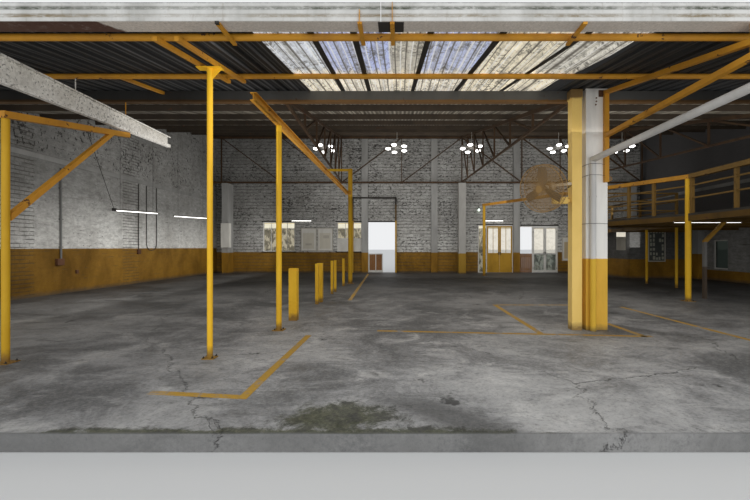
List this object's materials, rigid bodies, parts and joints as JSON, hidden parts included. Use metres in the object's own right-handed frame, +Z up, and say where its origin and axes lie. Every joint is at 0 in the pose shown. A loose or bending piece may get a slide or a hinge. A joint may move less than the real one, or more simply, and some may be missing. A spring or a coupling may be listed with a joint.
{
  "type": "factory building",
  "caption": "Open-fronted factory hall with a low front canopy, translucent roof strip, steel trusses, a railed mezzanine, hinged doors and a wall fan.",
  "frame": {"origin": "centre of the footprint at the underside of the floor slab", "axes": "+X to the right along the open front, +Y from the open front to the back wall, +Z up"},
  "size_m": [25.8, 20.975, 8.4954],
  "materials": {
    "floor": "worn power-floated concrete",
    "brick": "white painted brick with a yellow dado",
    "concrete": "painted concrete",
    "yellow_paint": "yellow gloss paint, worn",
    "pale_yellow": "pale yellow paint, worn",
    "brown_steel": "brown primer, rusty",
    "roof_sheet": "weathered grey sheet",
    "rooflight": "dirty translucent sheet",
    "gutter": "white paint with stains",
    "pipe": "painted pipe",
    "galvanised": "galvanised, speckled",
    "deck": "plain concrete planks",
    "prop": "brown painted timber",
    "lamp": "white, lit",
    "window_paint": "white gloss",
    "glass": "clear",
    "board": "painted board",
    "door_yellow": "yellow gloss paint",
    "door_white": "white gloss",
    "slat": "varnished slats",
    "fan": "beige enamel, dusty"
  },
  "bodies": {
    "hall": {"floor_slab": "floor", "left_wall": "brick", "right_wall": "brick", "back_wall_left": "brick", "back_wall_right": "brick", "door_lintels": "brick", "wall_pilasters": "brick", "side_wall_bands": "concrete", "corner_room_walls": "brick", "concrete_columns": "concrete", "front_beam": "brown_steel", "box_post": "pale_yellow", "canopy_posts": "yellow_paint", "lower_rafter": "yellow_paint", "canopy_rafters": "yellow_paint", "canopy_purlins": "yellow_paint", "canopy_sheets": "roof_sheet", "canopy_rooflight": "rooflight", "column_bracket": "yellow_paint", "gutter": "gutter", "gutter_brackets": "yellow_paint", "downpipe": "pipe", "steel_channel": "galvanised", "hoist_beam": "yellow_paint", "hoist_posts": "yellow_paint", "roof_sheets": "roof_sheet", "roof_purlins": "brown_steel", "roof_trusses": "brown_steel", "cross_truss": "brown_steel", "mezzanine_floor": "deck", "mezzanine_beams": "yellow_paint", "mezzanine_posts": "yellow_paint", "high_rail": "yellow_paint", "mezzanine_railing": "yellow_paint", "propped_post": "prop", "bollards": "yellow_paint", "lamp_clusters": "lamp", "tube_lights": "lamp", "window_frames": "window_paint", "window_glass": "glass", "wall_boards": "board", "door_frames": "window_paint", "gateway_frame": "yellow_paint", "fan_motor": "fan", "fan_guard": "fan"},
    "fan_rotor": {"fan_rotor": "fan"},
    "yellow_door_left": {"yellow_door_left": "door_yellow"},
    "yellow_door_right": {"yellow_door_right": "door_yellow"},
    "glass_door_left": {"glass_door_left": "door_white"},
    "glass_door_right": {"glass_door_right": "door_white"},
    "low_gate": {"low_gate": "door_white"},
    "slatted_gate": {"slatted_gate": "slat"}
  },
  "joints": [
    {"name": "fan_spin", "type": "hinge", "parent": "hall", "child": "fan_rotor", "pos_m": [0.84, -6.6025, 2.7], "axis": [-0.7493, -0.6287, -0.2079], "continuous": true},
    {"name": "yellow_door_left_swing", "type": "hinge", "parent": "hall", "child": "yellow_door_left", "pos_m": [3.52, 10.2755, 0.15], "axis": [0, 0, -1], "range_deg": [0, 90]},
    {"name": "yellow_door_right_swing", "type": "hinge", "parent": "hall", "child": "yellow_door_right", "pos_m": [5.03, 10.2755, 0.15], "axis": [0, 0, 1], "range_deg": [0, 90]},
    {"name": "glass_door_left_swing", "type": "hinge", "parent": "hall", "child": "glass_door_left", "pos_m": [6.28, 10.2755, 0.15], "axis": [0, 0, -1], "range_deg": [0, 90]},
    {"name": "glass_door_right_swing", "type": "hinge", "parent": "hall", "child": "glass_door_right", "pos_m": [7.71, 10.2755, 0.15], "axis": [0, 0, 1], "range_deg": [0, 90]},
    {"name": "low_gate_swing", "type": "hinge", "parent": "hall", "child": "low_gate", "pos_m": [-3.57, 10.2755, 0.15], "axis": [0, 0, -1], "range_deg": [0, 90]},
    {"name": "slatted_gate_swing", "type": "hinge", "parent": "hall", "child": "slatted_gate", "pos_m": [5.51, 10.2755, 0.15], "axis": [0, 0, -1], "range_deg": [0, 90]}
  ]
}
